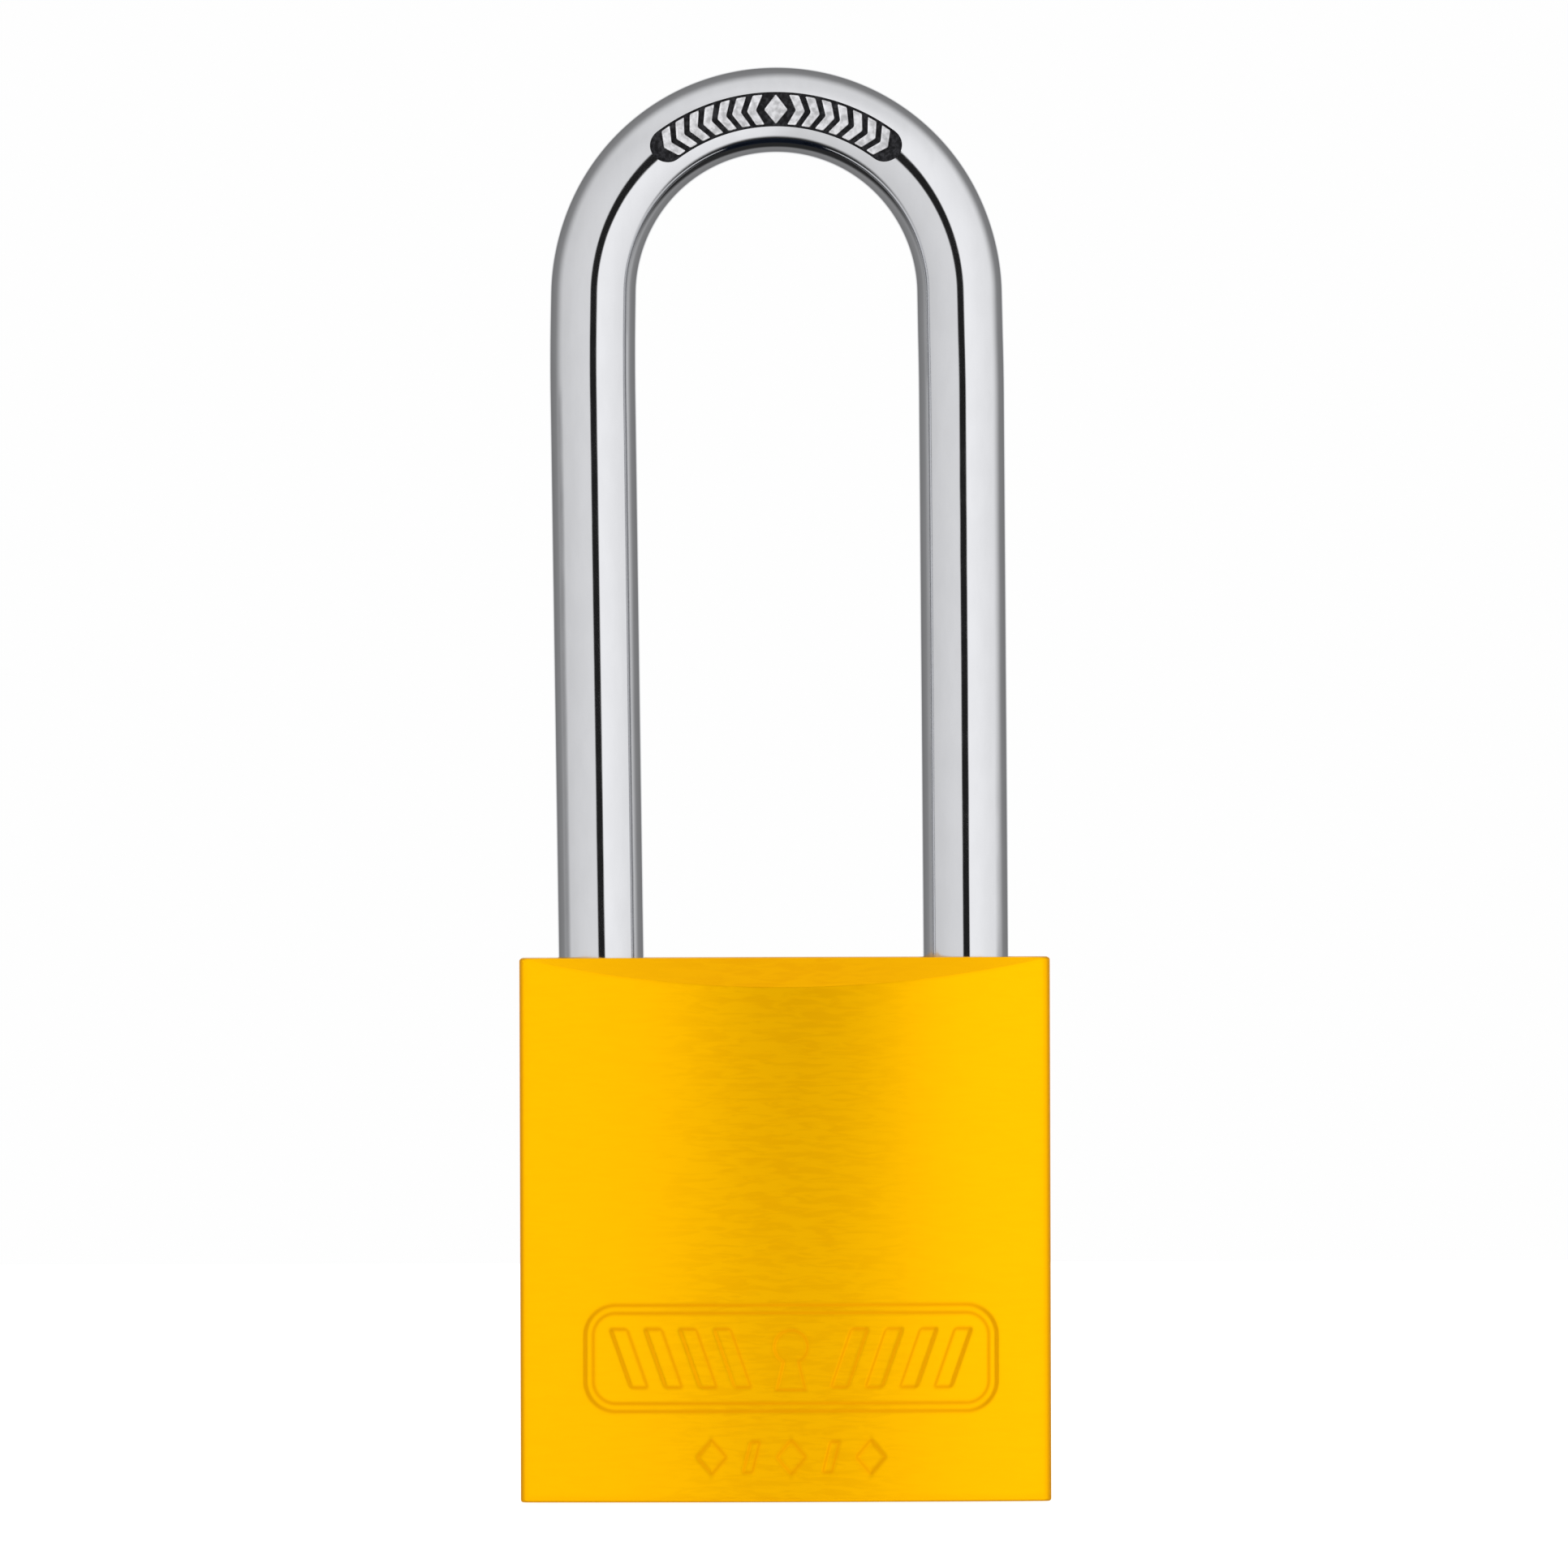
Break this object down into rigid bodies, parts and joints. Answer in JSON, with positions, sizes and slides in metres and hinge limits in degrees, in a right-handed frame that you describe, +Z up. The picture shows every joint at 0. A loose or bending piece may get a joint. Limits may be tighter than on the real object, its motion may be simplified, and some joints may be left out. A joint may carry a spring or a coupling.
{
  "type": "padlock",
  "caption": "Safety padlock: bowed aluminium body, tall round steel shackle held by locking balls, pin-tumbler key cylinder in the base.",
  "frame": {"origin": "middle of the body's bottom face, on the key plug's axis", "axes": "+Z up to the shackle's crown, front face towards -Y, heel leg of the shackle at -X and toe leg at +X"},
  "size_m": [0.04, 0.02, 0.1083],
  "materials": {
    "anodised_body": "yellow anodised, fine horizontal brushing",
    "chromed_shackle": "polished chrome plate on steel rod",
    "hardened_steel": "ground hardened steel",
    "spring_steel": "drawn spring wire and strip",
    "zinc_plated_steel": "zinc plated",
    "brass": "machined brass",
    "nickel_plated": "nickel plated brass"
  },
  "bodies": {
    "case": {"lock_body": "anodised_body", "cylinder_housing": "brass", "chamber_strip": "brass", "housing_screw": "zinc_plated_steel", "ball_channel_plug": "anodised_body", "shackle_spring": "spring_steel", "pin_spring_1": "spring_steel", "pin_spring_2": "spring_steel", "pin_spring_3": "spring_steel", "pin_spring_4": "spring_steel", "pin_spring_5": "spring_steel", "pin_spring_6": "spring_steel"},
    "shackle": {"shackle": "chromed_shackle"},
    "plug": {"key_plug": "nickel_plated", "plug_clip": "spring_steel", "actuator_cam": "zinc_plated_steel"},
    "toe_ball": {"toe_ball": "hardened_steel"},
    "heel_ball": {"heel_ball": "hardened_steel"},
    "key_pin_1": {"key_pin_1": "brass"},
    "driver_pin_1": {"driver_pin_1": "hardened_steel"},
    "key_pin_2": {"key_pin_2": "brass"},
    "driver_pin_2": {"driver_pin_2": "hardened_steel"},
    "key_pin_3": {"key_pin_3": "brass"},
    "driver_pin_3": {"driver_pin_3": "hardened_steel"},
    "key_pin_4": {"key_pin_4": "brass"},
    "driver_pin_4": {"driver_pin_4": "hardened_steel"},
    "key_pin_5": {"key_pin_5": "brass"},
    "driver_pin_5": {"driver_pin_5": "hardened_steel"},
    "key_pin_6": {"key_pin_6": "brass"},
    "driver_pin_6": {"driver_pin_6": "hardened_steel"}
  },
  "joints": [
    {"name": "shackle_lift", "type": "slide", "parent": "case", "child": "shackle", "axis": [0, 0, 1], "range_m": [0, 0.013], "deforming": ["shackle_spring"]},
    {"name": "plug_turn", "type": "hinge", "parent": "case", "child": "plug", "pos_m": [0, 0, 0], "axis": [0, 0, 1], "range_deg": [0, 90]},
    {"name": "toe_ball_slide", "type": "slide", "parent": "case", "child": "toe_ball", "axis": [-1, 0, 0], "range_m": [0, 0.0036]},
    {"name": "heel_ball_slide", "type": "slide", "parent": "case", "child": "heel_ball", "axis": [1, 0, 0], "range_m": [0, 0.001]},
    {"name": "key_pin_1_slide", "type": "slide", "parent": "plug", "child": "key_pin_1", "axis": [1, 0, 0], "range_m": [-0.00265, 0]},
    {"name": "driver_pin_1_slide", "type": "slide", "parent": "case", "child": "driver_pin_1", "axis": [1, 0, 0], "range_m": [-0.00265, 0], "deforming": ["pin_spring_1"]},
    {"name": "key_pin_2_slide", "type": "slide", "parent": "plug", "child": "key_pin_2", "axis": [1, 0, 0], "range_m": [-0.00145, 0]},
    {"name": "driver_pin_2_slide", "type": "slide", "parent": "case", "child": "driver_pin_2", "axis": [1, 0, 0], "range_m": [-0.00145, 0], "deforming": ["pin_spring_2"]},
    {"name": "key_pin_3_slide", "type": "slide", "parent": "plug", "child": "key_pin_3", "axis": [1, 0, 0], "range_m": [-0.00225, 0]},
    {"name": "driver_pin_3_slide", "type": "slide", "parent": "case", "child": "driver_pin_3", "axis": [1, 0, 0], "range_m": [-0.00225, 0], "deforming": ["pin_spring_3"]},
    {"name": "key_pin_4_slide", "type": "slide", "parent": "plug", "child": "key_pin_4", "axis": [1, 0, 0], "range_m": [-0.00085, 0]},
    {"name": "driver_pin_4_slide", "type": "slide", "parent": "case", "child": "driver_pin_4", "axis": [1, 0, 0], "range_m": [-0.00085, 0], "deforming": ["pin_spring_4"]},
    {"name": "key_pin_5_slide", "type": "slide", "parent": "plug", "child": "key_pin_5", "axis": [1, 0, 0], "range_m": [-0.00285, 0]},
    {"name": "driver_pin_5_slide", "type": "slide", "parent": "case", "child": "driver_pin_5", "axis": [1, 0, 0], "range_m": [-0.00285, 0], "deforming": ["pin_spring_5"]},
    {"name": "key_pin_6_slide", "type": "slide", "parent": "plug", "child": "key_pin_6", "axis": [1, 0, 0], "range_m": [-0.00185, 0]},
    {"name": "driver_pin_6_slide", "type": "slide", "parent": "case", "child": "driver_pin_6", "axis": [1, 0, 0], "range_m": [-0.00185, 0], "deforming": ["pin_spring_6"]}
  ],
  "couplings": [
    {"joint": "plug_turn", "follows": "shackle_lift", "rad_per_m": 120.83},
    {"joint": "toe_ball_slide", "follows": "shackle_lift", "ratio": 0.2769},
    {"joint": "heel_ball_slide", "follows": "shackle_lift", "ratio": 0.0769},
    {"joint": "driver_pin_1_slide", "follows": "key_pin_1_slide", "ratio": 1},
    {"joint": "driver_pin_2_slide", "follows": "key_pin_2_slide", "ratio": 1},
    {"joint": "driver_pin_3_slide", "follows": "key_pin_3_slide", "ratio": 1},
    {"joint": "driver_pin_4_slide", "follows": "key_pin_4_slide", "ratio": 1},
    {"joint": "driver_pin_5_slide", "follows": "key_pin_5_slide", "ratio": 1},
    {"joint": "driver_pin_6_slide", "follows": "key_pin_6_slide", "ratio": 1}
  ]
}
